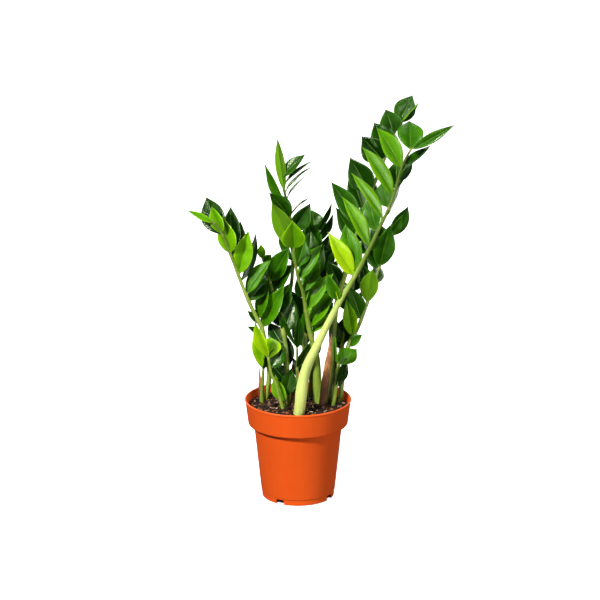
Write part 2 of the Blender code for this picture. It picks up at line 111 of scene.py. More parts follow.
@dataclass
class Frond:
    """A stalk's route and thickness, and what grows on it.

    route: points (x, y, z) from the soil to the tip. radii and pale: (z, value) pairs, where a
    stalk of paleness 1 is pale yellow-green and 0 is olive.
    leaflets: (z on the stalk, lean from upright towards +X, lean towards the viewer, length,
    width, turn of the upper face from the viewer towards +X, tone from 0 dark to 9 bright, and how
    far the tip bends back as a share of the length where that isn't BLADE_CURL). The tone is partly
    the leaflet's own green and partly painted light and shade: leaflets lying in shade get dark
    tones and lit ones bright tones.
    """
    route: list
    radii: list
    pale: list
    leaflets: list


FRONDS = {
    "frond_front_right": Frond(
        route=[(1, -27, 106), (8, -33, 156), (22, -40, 191), (43, -50, 238), (64, -58, 278),
               (84, -66, 322), (101, -74, 364), (110, -80, 400), (119, -85, 420)],
        radii=[(106, 6.2), (130, 6.6), (152, 5.8), (200, 4.2), (238, 3.2), (275, 2.4), (350, 1.6),
               (420, 1.1)],
        pale=[(106, 0.9), (125, 1.0), (225, 0.95), (300, 0.4), (420, 0.2)],
        leaflets=[
            (240, -17, 5, 28, 9, -50, 9), (242, -23, 14, 38, 15, -20, 5),
            (272, -27, 10, 60, 22, 35, 9), (306, -25, 5, 65, 21, 48, 6.8),
            (339, -31, 5, 62, 18, 52, 6.8), (366, -29, 10, 66, 21, 45, 6.4),
            (398, -28, 10, 52, 23, 28, 6, 0.12), (418, 1, -45, 43, 29, 0, 4, 0.2),
            (419, 56, 15, 55, 12, -20, 4), (394, 50, -20, 45, 15, -60, 3),
            (383, 38, -10, 27, 15, 50, 2),
            (339, 27, -15, 50, 20, 80, 2), (324, -16, -40, 45, 25, -10, 4),
            (352, -14, -45, 36, 25, -10, 4), (373, 2, -40, 36, 22, -10, 3),
            (276, -13, -15, 55, 26, 5, 5), (300, 20, -65, 48, 20, 0, 3)]),
    "frond_tall_right": Frond(
        route=[(37, 12, 106), (38, 13, 165), (42, 14, 213), (52, 18, 253), (66, 24, 306),
               (84, 30, 353), (97, 34, 386), (107, 38, 412), (111, 39, 424)],
        radii=[(106, 5.4), (170, 4.2), (213, 3.2), (306, 2.4), (424, 1.4)],
        pale=[(106, 0.15), (190, 0.3), (215, 0.6), (260, 0.5), (424, 0.15)],
        leaflets=[
            (292, -26, 10, 44, 20, 20, 3), (308, -29, 5, 59, 25, 30, 3),
            (344, -30, 5, 46, 30, 0, 2, 0.16), (380, -42, 5, 36, 31, 0, 1.5, 0.16),
            (394, -29, 0, 32, 29, 10, 2, 0.16), (409, -17, 5, 29, 28, 10, 2.5, 0.16),
            (421, 28, -10, 35, 25, -10, 3, 0.12), (419, 44, 10, 37, 14, 70, 4),
            (325, 36, -40, 38, 20, 20, 2), (287, 30, -40, 41, 20, 20, 1),
            (251, 17, -40, 42, 20, 30, 2), (325, -21, -20, 46, 22, 0, 2),
            (238, -26, -12, 34, 20, 0, 2),
            (360, 30, -65, 40, 20, 20, 2), (395, 30, -65, 36, 20, 20, 3)]),
    "frond_right": Frond(
        route=[(48.5, 15, 106), (49, 17, 122), (52, 23, 145), (58, 30, 170), (65, 33, 181),
               (72, 36, 197), (81, 42, 221), (90, 48, 248), (98, 54, 274), (106, 60, 296)],
        radii=[(106, 3.2), (145, 2.5), (296, 1.2)],
        pale=[(106, 0.5), (200, 0.45), (296, 0.2)],
        leaflets=[
            (287, 33, 0, 41, 26, 35, 3), (285, 30, 15, 33, 14, 30, 4),
            (253, 13, 10, 53, 25, 5, 3), (251, -22, 0, 34, 22, 20, 3),
            (213, 7, 10, 45, 22, 180, 4), (176, -9, 5, 45, 17, 0, 7),
            (195, -18, -5, 40, 21, 20, 4), (166, 45, 10, 22, 14, -40, 4),
            (225, -18, 0, 36, 20, 0, 3), (274, -16, 0, 31, 20, 0, 3),
            (235, 20, -65, 45, 20, 30, 3), (262, 20, -65, 42, 20, 20, 3)]),
    "frond_centre": Frond(
        route=[(22, 11, 106), (21, 8, 155), (17, 4, 174), (11, -4, 204), (6, -16, 241),
               (0, -24, 262), (-4, -34, 288), (-5, -38, 299)],
        radii=[(106, 5.2), (140, 4.6), (175, 3.0), (241, 2.0), (299, 1.2)],
        pale=[(106, 0.55), (160, 0.6), (200, 0.6), (299, 0.5)],
        leaflets=[
            (298, -2, 30, 41, 27, 0, 6.5), (274, 18, -30, 35, 22, 0, 4),
            (259, 30, 0, 48, 24, -56, 5), (243, 28, -15, 41, 20, -30, 5),
            (220, 32, 5, 53, 24, -54, 6), (198, 32, 0, 52, 26, -48, 6),
            (190, 46, 0, 36, 14, -50, 6), (186, -15, 0, 32, 16, -30, 4)]),
    "frond_left": Frond(
        route=[(-36, 25, 106), (-33, 24, 137), (-39, 14, 186), (-45, 10, 203), (-52, 4, 220),
               (-59, -2, 239), (-65, -8, 258), (-73, -16, 283), (-82, -24, 309), (-93, -30, 328)],
        radii=[(106, 3.2), (150, 2.6), (220, 2.2), (328, 1.1)],
        pale=[(106, 0.65), (240, 0.75), (328, 0.3)],
        leaflets=[
            (325, -60, 10, 33, 8, 30, 7), (310, -27, -25, 48, 28, -5, 2, 0.12),
            (311, -19, 10, 35, 17, -20, 7), (286, -11, 10, 46, 22, -10, 7),
            (282, -2, -30, 60, 23, 0, 2), (265, 4, -30, 59, 21, 0, 2),
            (260, 13, 5, 53, 22, 10, 7), (252, 20, -15, 57, 20, 50, 2),
            (236, 32, 5, 49, 24, -54, 5), (227, 41, -20, 36, 22, -30, 3),
            (202, 12, 5, 54, 19, -45, 5), (192, 24, 12, 60, 22, -25, 5),
            (197, -41, 0, 22, 9, 30, 3), (184, -60, 0, 21, 8, 30, 2)]),
    "frond_tall_left": Frond(
        route=[(-9, 15, 106), (-14, 17, 146), (-14, 20, 199), (-7, 26, 245), (-6, 30, 279),
               (-9, 36, 317), (-17, 42, 351), (-21, 46, 378)],
        radii=[(106, 3.2), (199, 2.4), (378, 1.1)],
        pale=[(106, 0.4), (378, 0.3)],
        leaflets=[
            (342, -8, 0, 64, 12, 195, 4), (358, 40, 0, 37, 17, -45, 3, 0.12),
            (349, 36, 0, 44, 7, -60, 3, 0.3), (342, 33, 0, 41, 6, -60, 3, 0.3),
            (335, 26, 0, 33, 4.5, -60, 2, 0.3), (317, 35, 0, 32, 4, -60, 2, 0.3),
            (321, -29, 0, 62, 18, -50, 4.5), (313, -35, 15, 41, 23, 30, 3),
            (279, -23, 8, 63, 22, 195, 4.5), (265, -24, 0, 40, 14, -40, 3),
            (292, -33, -35, 38, 20, 0, 2), (298, 33, 0, 39, 24, 15, 3),
            (275, 22, 32, 40, 18, 10, 3)]),
    "frond_middle_left": Frond(
        route=[(-12, 5, 106), (-13, 3, 165), (-19, 12, 201), (-26, 18, 224), (-33, 22, 251),
               (-40, 24, 271)],
        radii=[(106, 3.2), (165, 2.8), (204, 2.2), (271, 1.1)],
        pale=[(106, 0.55), (180, 0.45), (271, 0.3)],
        leaflets=[
            (270, -6, 0, 17, 10, 0, 7), (266, 42, 10, 13, 11, 0, 5),
            (244, 25, 12, 48, 24, -30, 4), (235, 35, 5, 38, 24, -40, 3),
            (224, -26, -20, 41, 20, 20, 3), (214, 24, 8, 34, 20, 0, 3),
            (208, -29, -28, 34, 20, 0, 3), (193, -22, -28, 46, 24, 0, 2),
            (187, 16, -15, 40, 22, 0, 3), (168, -36, -32, 42, 20, 10, 2),
            (148, -3, -12, 40, 18, 0, 1), (130, -42, -18, 31, 20, 10, 1)]),
    "frond_back": Frond(
        route=[(15, 34, 106), (16, 38, 171), (18, 43, 228), (20, 48, 271), (20, 50, 293)],
        radii=[(106, 3.0), (293, 1.2)],
        pale=[(106, 0.3), (293, 0.2)],
        leaflets=[
            (268, -14, 5, 44, 24, 10, 3), (262, 31, -5, 34, 20, 30, 1),
            (292, 29, 0, 41, 12, 50, 3),
            (282, 33, 0, 39, 16, 40, 3), (291, -10, -30, 30, 24, 0, 3),
            (246, 35, 0, 40, 24, 30, 2), (251, -25, 5, 28, 16, 0, 2),
            (228, -27, -5, 26, 18, 0, 2), (224, 36, 0, 48, 24, 20, 2),
            (204, 38, -5, 38, 24, 10, 2), (184, 40, -5, 38, 20, 10, 1)]),
    "frond_back_middle": Frond(
        route=[(8, 24, 106), (8, 25, 175), (9, 26, 221), (11, 28, 265)],
        radii=[(106, 4.0), (175, 3.2), (265, 1.2)],
        pale=[(106, 0.45), (265, 0.2)],
        leaflets=[
            (264, 5, -18, 38, 22, 10, 2), (250, -18, 25, 24, 14, 0, 2),
            (246, 27, 0, 43, 22, 20, 2), (224, -22, 22, 30, 18, 0, 2),
            (214, 23, 0, 43, 22, 20, 2), (193, -26, -10, 44, 24, 0, 2),
            (182, 21, 0, 43, 22, 10, 2), (165, -14, -5, 40, 22, 0, 1), (150, 35, 0, 34, 16, 0, 1),
            (125, -26, 0, 32, 13, 0, 1)]),
    "frond_back_right": Frond(
        route=[(38, 33, 106), (43, 34, 130), (49, 37, 159), (59, 43, 216), (67, 49, 259),
               (73, 54, 291)],
        radii=[(106, 2.8), (216, 2.0), (291, 1.1)],
        pale=[(106, 0.5), (291, 0.2)],
        leaflets=[
            (165, 4, 0, 33, 22, 0, 2), (130, -10, 0, 30, 14, 0, 1),
            (159, -16, -10, 38, 24, 20, 2),
            (188, 27, -10, 42, 22, 20, 2), (202, -17, -15, 45, 22, 0, 3),
            (225, 29, -35, 48, 20, 20, 3), (244, -15, -15, 45, 22, 0, 3),
            (267, 36, -35, 42, 20, 20, 3), (289, 5, -10, 40, 20, 10, 3)]),
    "frond_low_centre": Frond(
        route=[(-1, -2, 106), (-1, -3, 140), (-1, -4, 175)],
        radii=[(106, 2.2), (175, 1.2)],
        pale=[(106, 0.4), (175, 0.3)],
        leaflets=[
            (174, -25, 5, 46, 10, -50, 3), (173, 3, 10, 40, 13, 20, 2),
            (150, 25, 12, 36, 16, 20, 2)]),
    "frond_low_left": Frond(
        route=[(-17, -11, 106), (-24, -14, 133), (-30, -17, 149), (-33, -21, 169)],
        radii=[(106, 2.2), (169, 1.2)],
        pale=[(106, 0.65), (169, 0.6)],
        leaflets=[
            (168, -20, 10, 47, 18, -35, 8), (167, 8, -55, 32, 27, 0, 8),
            (155, 31, -20, 30, 20, 0, 3)]),
    "frond_low_right": Frond(
        route=[(40, 0, 106), (43, 0, 130), (45, 2, 154)],
        radii=[(106, 2.4), (154, 1.3)],
        pale=[(106, 0.5), (154, 0.5)],
        leaflets=[
            (153, 56, -30, 30, 24, -35, 5), (153, -8, 0, 33, 12, -70, 5),
            (126, 20, -5, 37, 16, 30, 2)]),
    "sprout_left": Frond(
        route=[(-41, 12, 106), (-40, 9, 132), (-39, 7, 147)],
        radii=[(106, 2.6), (147, 1.4)],
        pale=[(106, 0.5), (147, 0.5)],
        leaflets=[(146, -15, 5, 45, 14, -20, 8), (144, 8, 0, 28, 16, 60, 3)]),
    "sprout_front": Frond(
        route=[(-14, -3, 106), (-14, -3, 112), (-14, -3, 118)],
        radii=[(106, 1.8), (118, 1.3)],
        pale=[(106, 0.4), (118, 0.4)],
        leaflets=[(110, -22, 0, 34, 22, -40, 7), (117, 12, 0, 34, 19, 5, 3)]),
}

# name: (x, y, lean, toward, length, width, turn)
SHEATHS = {
    "sheath_right": (26, -4, 8, 0, 80, 9, 10),
    "sheath_centre": (4, -10, -4, 0, 38, 7, 0),
    "sheath_middle_left": (-6, 1, 0, 0, 42, 5, 20),
    "sheath_left": (-42, 17, -3, 0, 34, 4, -20),
}
SHEATH_FOOT_Z = 111.0
SHEATH_SUNK = 8.0           # below the foot's height, in the soil
SHEATH_THICKNESS = 0.4
SHEATH_ALONG = 30
SHEATH_ACROSS = 7           # sections across each half


# ---- Meshes ------------------------------------------------------------------------------
class Shape:
    """Points, faces and named point attributes of one piece, gathered part by part."""

    def __init__(self, *names):
        self.verts = []
        self.faces = []
        self.values = {name: [] for name in names}

    def point(self, place, *values):
        self.verts.append(place)
        for column, value in zip(self.values.values(), values):
            column.append(value)
        return len(self.verts) - 1

    def grid(self, rows, closed=False):
        """Faces between rows of point numbers. A closed grid joins each row's ends."""
        for low, high in zip(rows, rows[1:]):
            count = len(low) if closed else len(low) - 1
            for i in range(count):
                j = (i + 1) % len(low)
                corners = dict.fromkeys((low[i], low[j], high[j], high[i]))
                if len(corners) > 2:
                    self.faces.append(tuple(corners))

    def build(self, name, *materials):
        mesh = bpy.data.meshes.new(name)
        mesh.from_pydata([[c * MM for c in v] for v in self.verts], [], self.faces)
        for key, column in self.values.items():
            mesh.attributes.new(key, "FLOAT", "POINT").data.foreach_set("value", column)
        for material in materials:
            mesh.materials.append(material)
        mesh.shade_smooth()
        obj = bpy.data.objects.new(name, mesh)
        bpy.context.scene.collection.objects.link(obj)
        return obj


def stand_for(obj, node):
    """The piece is shown in place of a CAD node and stands on the part's one body."""
    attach(obj, "root")
    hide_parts(node)


def read_table(pairs, z):
    """Linear reading of (z, value) pairs."""
    for (low_z, low), (high_z, high) in zip(pairs, pairs[1:]):
        if z <= high_z:
            share = max(0.0, (z - low_z) / (high_z - low_z))
            return low + (high - low) * share
    return pairs[-1][1]


def smooth_route(points, steps):
    """Points of a Catmull-Rom curve through a route, with steps sections between two points."""
    points = [Vector(p) for p in points]
    ends = [points[0] * 2 - points[1]] + points + [points[-1] * 2 - points[-2]]
    curve = []
    for a, b, c, d in zip(ends, ends[1:], ends[2:], ends[3:]):
        for i in range(steps):
            t = i / steps
            curve.append(0.5 * (2 * b + (c - a) * t + (2 * a - 5 * b + 4 * c - d) * t ** 2
                                + (3 * b - a - 3 * c + d) * t ** 3))
    return curve + [points[-1]]


def point_on(curve, z):
    for low, high in zip(curve, curve[1:]):
        if z <= high.z:
            return low.lerp(high, max(0.0, (z - low.z) / (high.z - low.z)))
    return curve[-1]


# ---- Leaflets ----------------------------------------------------------------------------
def half_width_share(t):
    """A leaflet's half width along its blade, 1 at its widest: a round base and a sharp tip."""
    return max(0.0, sin(pi * t ** 0.86)) ** (0.72 + 0.4 * t)


def blade_frame(lean, toward, turn):
    """Directions of a leaflet: along it, out of its upper face and across it."""
    lean, toward, turn = radians(lean), radians(toward), radians(turn)
    ahead = Vector((sin(lean) * cos(toward), -sin(toward), cos(lean) * cos(toward)))
    viewer = Vector((0, -1, 0))
    facing = (viewer - ahead * viewer.dot(ahead)).normalized()
    upper = facing * cos(turn) + ahead.cross(facing) * sin(turn)
    return ahead, upper, ahead.cross(upper)


def add_leaflet(shape, base, leaflet, rng):
    """One leaflet: a short round petiole that opens into a folded, waved blade."""
    _, lean, toward, length, width, turn, tone = leaflet[:7]
    curl = leaflet[7] if len(leaflet) > 7 else BLADE_CURL
    ahead, upper, side = blade_frame(lean, toward, turn)
    # The tone is partly the leaflet's own green and partly painted light and shade.
    tone = tone / BRIGHTEST_TONE + rng.uniform(-0.03, 0.03)
    phase = rng.uniform(0, 2 * pi)
    sway = rng.uniform(-0.02, 0.02)
    twist = rng.uniform(-0.1, 0.1)
    fold = radians(BLADE_FOLD + rng.uniform(-3, 5))
    waves = rng.uniform(1.2, 2.2)
    tops = []
    unders = []
    for i in range(ALONG + 1):
        t = i / ALONG
        u = max(0.0, (t - PETIOLE_SHARE) / (1 - PETIOLE_SHARE))
        petiole = max(0.0, 1 - t / (PETIOLE_SHARE * 2.4))
        half = max(PETIOLE_WIDTH / 2 * petiole ** 0.5, width / 2 * half_width_share(u), 0.12)
        middle = base + ahead * length * t - upper * curl * length * t ** 2
        middle += side * length * sway * sin(pi * t)
        turned = upper * cos(twist * t) + side * sin(twist * t)
        out = side * cos(twist * t) - upper * sin(twist * t)
        thick = BLADE_THICKNESS * min(1.0, 0.35 + half / 4) + 1.5 * petiole
        top = []
        under = []
        for j in range(-ACROSS, ACROSS + 1):
            s = j / ACROSS
            s = (abs(s) ** 1.15) * (1 if s > 0 else -1)
            rise = sin(fold) * half * abs(s) * (1.3 - 0.38 * s * s)
            side_phase = phase + (1.3 if s > 0 else 0)
            rise += MARGIN_WAVE * s * s * sin(2 * pi * waves * t + side_phase)
            rise -= 0.35 * petiole
            from_rib = exp(-(s * half / 0.75) ** 2)
            edge = (1 - abs(s) ** 6) ** 0.5
            across = out * half * s * cos(fold * 0.8)
            groove = GROOVE_DEPTH * from_rib * (1 - petiole)
            rib = RIB_DEPTH * from_rib * (1 - 0.6 * t)
            above = rise + thick * 0.5 * edge - groove
            below = rise - thick * 0.5 * edge - rib
            top.append(shape.point(middle + across + turned * above, tone, s, t, 0.0))
            under.append(shape.point(middle + across + turned * below, tone, s, t, 1.0))
        tops.append(top)
        unders.append(under)
    shape.grid(tops)
    shape.grid([row[::-1] for row in unders])
    shape.grid([[row[0] for row in unders], [row[0] for row in tops]])
    shape.grid([[row[-1] for row in tops], [row[-1] for row in unders]])
    shape.grid([unders[0], tops[0]])
    shape.grid([tops[-1], unders[-1]])


def add_stalk(shape, frond, curve, rng):
    """A stalk with a slight swelling and a scar where each leaflet sits."""
    curve = [Vector((curve[0].x, curve[0].y, STEM_FOOT_Z))] + curve
    nodes = [row[0] for row in frond.leaflets]
    across = Vector((1, 0, 0))
    phase = rng.uniform(0, 6)
    rings = []
    for i, centre in enumerate(curve):
        ahead = (curve[min(i + 1, len(curve) - 1)] - curve[max(i - 1, 0)]).normalized()
        across = (across - ahead * across.dot(ahead)).normalized()
        up = ahead.cross(across)
        near = max(exp(-((centre.z - z) / SCAR_REACH) ** 2) for z in nodes)
        radius = read_table(frond.radii, centre.z) * (1 + 0.1 * near)
        pale = read_table(frond.pale, centre.z)
        ring = []
        for k in range(STEM_SIDES):
            angle = 2 * pi * k / STEM_SIDES
            wobble = 1 + 0.035 * sin(3 * angle + centre.z / 9 + phase) + 0.02 * sin(centre.z / 5)
            out = across * cos(angle) + up * sin(angle)
            ring.append(shape.point(centre + out * radius * wobble, pale, near))
        rings.append(ring)
    tip = shape.point(curve[-1] + ahead * 1.2, pale, 0.0)
    foot = shape.point(curve[0], pale, 0.0)
    rings = [[foot] * STEM_SIDES] + rings + [[tip] * STEM_SIDES]
    shape.grid(rings, closed=True)


def build_frond(name, frond, rng):
    curve = smooth_route(frond.route, STEM_STEPS)
    stalk = Shape("pale", "scar")
    add_stalk(stalk, frond, curve, rng)
    stand_for(stalk.build(f"{name}_stalk", STALK), name)
    blades = Shape("tone", "across", "along", "under")
    for row in frond.leaflets:
        add_leaflet(blades, point_on(curve, row[0]), row, rng)
    stand_for(blades.build(f"{name}_leaflets", LEAF), name)


def build_sheath(name, sheath):
    """A dry papery sheath that stands against a stalk's foot, rolled and torn at its edge."""
    x, y, lean, toward, length, width, turn = sheath
    ahead, upper, side = blade_frame(lean, toward, turn)
    base = Vector((x, y, SHEATH_FOOT_Z - SHEATH_SUNK))
    shape = Shape("along")
    length += SHEATH_SUNK
    layers = ([], [])
    for i in range(SHEATH_ALONG + 1):
        t = i / SHEATH_ALONG
        half = width / 2 * (0.75 + 0.4 * sin(pi * t)) * (1 - t ** 3) + 0.15
        row_points = ([], [])
        for j in range(-SHEATH_ACROSS, SHEATH_ACROSS + 1):
            s = j / SHEATH_ACROSS
            torn = 0.5 * noise.noise(Vector((t * 14, s * 2, x)))
            roll = 1.15 * s
            middle = base + ahead * length * t - upper * 0.05 * length * t * t
            spot = middle + side * half * sin(roll) + upper * (half * cos(roll) * 0.7 + torn)
            row_points[0].append(shape.point(spot + upper * SHEATH_THICKNESS / 2, t))
            row_points[1].append(shape.point(spot - upper * SHEATH_THICKNESS / 2, t))
        layers[0].append(row_points[0])
        layers[1].append(row_points[1][::-1])
    shape.grid(layers[0])
    shape.grid(layers[1])
    shape.grid([[row[-1] for row in layers[1]], [row[0] for row in layers[0]]])
    shape.grid([[row[-1] for row in layers[0]], [row[0] for row in layers[1]]])
    shape.grid([layers[1][0][::-1], layers[0][0]])
    shape.grid([layers[0][-1], layers[1][-1][::-1]])
    stand_for(shape.build(f"{name}_paper", PAPER), name)


# ---- Pot ---------------------------------------------------------------------------------
def turned_shape(profile, segments):
    """A closed profile [(radius, z)] whose ends lie on the axis, turned round Z."""
    shape = Shape()
    rings = []
    for radius, z in profile:
        if radius == 0:
            rings.append([shape.point(Vector((0, 0, z)))] * segments)
            continue
        angles = [2 * pi * i / segments for i in range(segments)]
        rings.append([shape.point(Vector((radius * cos(a), radius * sin(a), z))) for a in angles])
    shape.grid(rings, closed=True)
    return shape


def rounded(profile, radii):
    """A profile with its corners rounded: an arc of 5 points where a radius is given."""
    points = [Vector(p).to_2d() for p in profile]
    out = []
    for i, (corner, radius) in enumerate(zip(points, radii)):
        if not radius:
            out.append(corner)
            continue
        before = (points[i - 1] - corner).normalized()
        after = (points[i + 1] - corner).normalized()
        start = corner + before * radius
        end = corner + after * radius
        for k in range(5):
            t = k / 4
            out.append(start * (1 - t) ** 2 + corner * 2 * t * (1 - t) + end * t ** 2)
    return [tuple(p) for p in out]


def wall_profile(inset):
    """The pot's outer outline from the foot to the band's top, moved inwards."""
    return [
        (RING_RADIUS - inset, 0),
        (RING_RADIUS + 0.1 - inset, RING_HEIGHT),
        (BODY_FOOT_RADIUS - inset, RING_HEIGHT + 0.4),
        (BODY_TOP_RADIUS - inset, BAND_FOOT_Z),
        (BAND_FOOT_RADIUS - inset, BAND_FOOT_Z),
        (BAND_TOP_RADIUS - inset, POT_HEIGHT - LIP_HEIGHT),
    ]


def boolean(obj, operation, operand):
    modifier = obj.modifiers.new(operation.lower(), "BOOLEAN")
    modifier.operation = operation
    modifier.solver = "EXACT"
    modifier.object = operand


def tunnel_block(angle, skin, low):
    """A drainage tunnel's space (skin 0) or its hood (skin WALL), as a box that points outwards."""
    inner = RING_RADIUS - WALL - TUNNEL_LENGTH - skin
    outer = RING_RADIUS - WALL / 2 if skin else RING_RADIUS + WALL * 3
    half = TUNNEL_WIDTH / 2 + skin
    along = Vector((sin(radians(angle)), -cos(radians(angle)), 0))
    across = Vector((-along.y, along.x, 0))
    shape = Shape()
    rings = []
    for distance in (inner, outer):
        ring = []
        for side, z in ((-half, low), (half, low), (half, TUNNEL_HEIGHT + skin),
                        (-half, TUNNEL_HEIGHT + skin)):
            ring.append(shape.point(along * distance + across * side + Vector((0, 0, z))))
        rings.append(ring)
    shape.grid(rings, closed=True)
    shape.faces += [tuple(rings[0][::-1]), tuple(rings[1])]
    return shape.build("cutter")


def drain_drill(angle):
    distance = RING_RADIUS - WALL - TUNNEL_LENGTH / 2
    centre = Vector((sin(radians(angle)), -cos(radians(angle)), 0)) * distance
    shape = turned_shape([(0, TUNNEL_HEIGHT - 1), (DRAIN_HOLE_RADIUS, TUNNEL_HEIGHT - 1),
                          (DRAIN_HOLE_RADIUS, TUNNEL_HEIGHT + 3), (0, TUNNEL_HEIGHT + 3)],
                         DRILL_SEGMENTS)
    shape.verts = [v + centre for v in shape.verts]
    return shape.build("cutter")


def build_pot():
    outer = wall_profile(0)
    inner = wall_profile(WALL)
    edge = POT_HEIGHT - RIM_CHAMFER
    share = (edge - inner[4][1] - WALL) / (inner[5][1] - inner[4][1] - WALL)
    top_inside = inner[4][0] + (inner[5][0] - inner[4][0]) * share
    lip = POT_HEIGHT - LIP_HEIGHT
    profile = [(0, 0)] + outer + [
        (RIM_RADIUS, lip + 0.4), (RIM_RADIUS, POT_HEIGHT), (RIM_RADIUS - WALL - 0.5, POT_HEIGHT),
        (top_inside, edge), (inner[4][0], inner[4][1] + WALL),
        (inner[3][0], inner[3][1] + WALL), inner[2], inner[1], (inner[0][0], FLOOR), (0, FLOOR)]
    radii = [0, 0.5, 0.3, 0.35, 1.2, 1.6, 0.3, 0.3, 0.7, 0.5, 0.3, 1.2, 1.2, 0.3, 0.3, 0.8, 0]
    pot = turned_shape(rounded(profile, radii), POT_SEGMENTS).build("pot_shell", PLASTIC)
    cutters = []
    for angle in TUNNEL_ANGLES:
        cutters.append(tunnel_block(angle, WALL, 0.2))
        boolean(pot, "UNION", cutters[-1])
    for angle in TUNNEL_ANGLES:
        cutters += [tunnel_block(angle, 0, -1), drain_drill(angle)]
        boolean(pot, "DIFFERENCE", cutters[-2])
        boolean(pot, "DIFFERENCE", cutters[-1])
    bpy.context.view_layer.update()
    evaluated = pot.evaluated_get(bpy.context.evaluated_depsgraph_get())
    cut = bpy.data.meshes.new_from_object(evaluated)
    pot.modifiers.clear()
    pot.data = cut
    cut.shade_smooth()
    cut.set_sharp_from_angle(angle=radians(32))
    for cutter in cutters:
        bpy.data.objects.remove(cutter)
    stand_for(pot, "pot")


# ---- Soil --------------------------------------------------------------------------------
def soil_height(x, y):
    """The surface of the soil: the CAD model's low waves with crumbs on them."""
    bumps = sin(x / 9 + 1) * cos(y / 11) + 0.6 * sin(y / 6 + x / 17)
    calm = 1 - (hypot(x, y) / RIM_RADIUS) ** 4
    crumbs = noise.noise(Vector((x, y, 3)) / 3.4) + 0.6 * noise.noise(Vector((x, y, 9)) / 1.5)
    return SOIL_TOP - 0.4 + bumps * calm + crumbs * 1.3


def build_soil():
    shape = Shape()
    gap = WALL + SOIL_CLEARANCE
    bed = FLOOR + SOIL_CLEARANCE
    below = [(0, bed), (RING_RADIUS - gap, bed), (BODY_FOOT_RADIUS - gap, RING_HEIGHT),
             (BODY_TOP_RADIUS - gap, BAND_FOOT_Z + gap),
             (BAND_FOOT_RADIUS - gap, BAND_FOOT_Z + gap)]
    rings = []
    for radius, z in below:
        rings.append(soil_ring(shape, radius, lambda x, y, z=z: z))
    for i in range(SOIL_RINGS, 0, -1):
        rings.append(soil_ring(shape, SOIL_RADIUS * i / SOIL_RINGS, soil_height))
    centre = shape.point(Vector((0, 0, soil_height(0, 0))))
    rings.append([centre] * SOIL_SEGMENTS)
    shape.grid(rings, closed=True)
    stand_for(shape.build("soil_bed", PEAT), "soil")


def soil_ring(shape, radius, height):
    if radius == 0:
        return [shape.point(Vector((0, 0, height(0, 0))))] * SOIL_SEGMENTS
    ring = []
    for k in range(SOIL_SEGMENTS):
        angle = 2 * pi * k / SOIL_SEGMENTS
        x, y = radius * cos(angle), radius * sin(angle)
        ring.append(shape.point(Vector((x, y, height(x, y)))))
    return ring


def free_spot(rng, clearance):
    """A place on the soil that no stalk stands on."""
    while True:
        radius = SOIL_RADIUS * rng.random() ** 0.5 - clearance
        angle = rng.uniform(0, 2 * pi)
        x, y = radius * cos(angle), radius * sin(angle)
        if radius > 0 and all(hypot(x - fx, y - fy) > r + clearance for fx, fy, r in FEET):
            return Vector((x, y, soil_height(x, y)))


def add_lump(shape, rng, spot, size, flat, long, tone):
    """A crumb or a chip: a rough ball squeezed to its shape and turned at random."""
    turn = rng.uniform(0, 2 * pi)
    tip = rng.uniform(-0.5, 0.5)
    seed = rng.uniform(0, 50)
    rings = []
    sides = 10
    levels = 6
    for i in range(levels + 1):
        lat = pi * i / levels
        ring = []
        for k in range(sides):
            lon = 2 * pi * k / sides
            ball = Vector((sin(lat) * cos(lon), sin(lat) * sin(lon), cos(lat)))
            rough = 1 + 0.42 * noise.noise(ball * 1.4 + Vector((seed, 0, 0)))
            rough += 0.2 * noise.noise(ball * 3.5 + Vector((0, seed, 0)))
            x, y, z = ball.x * long * rough, ball.y * rough, ball.z * flat * rough
            x, z = x * cos(tip) + z * sin(tip), z * cos(tip) - x * sin(tip)
            x, y = x * cos(turn) - y * sin(turn), x * sin(turn) + y * cos(turn)
            ring.append((x, y, z))
            if i in (0, levels):
                break
        ring = [shape.point(spot + Vector(p) * size, tone) for p in ring]
        rings.append(ring * sides if len(ring) == 1 else ring)
    shape.grid(rings[::-1], closed=True)


def build_litter(rng):
    """What lies on the soil: peat crumbs, chips of bark and pale bits of straw."""
    crumbs = Shape("tone")
    for _ in range(CRUMBS):
        size = rng.choice(CRUMB_SIZES)
        spot = free_spot(rng, size) + Vector((0, 0, size * rng.uniform(-0.1, 0.5)))
        add_lump(crumbs, rng, spot, size, rng.uniform(0.6, 0.9), rng.uniform(1, 1.5), rng.random())
    stand_for(crumbs.build("soil_crumbs", PEAT), "soil")
    chips = Shape("tone")
    for _ in range(CHIPS):
        size = rng.uniform(1.2, 2.2)
        spot = free_spot(rng, size * 2) + Vector((0, 0, size * 0.5))
        add_lump(chips, rng, spot, size, 0.35, rng.uniform(1.6, 2.4), rng.random())
    stand_for(chips.build("soil_bark_chips", BARK), "soil")
    straws = Shape("tone")
    for _ in range(STRAWS):
        spot = free_spot(rng, 3) + Vector((0, 0, 1.3))
        add_lump(straws, rng, spot, rng.uniform(0.35, 0.6), 0.6, rng.uniform(4, 9), rng.random())
    stand_for(straws.build("soil_straw", STRAW), "soil")


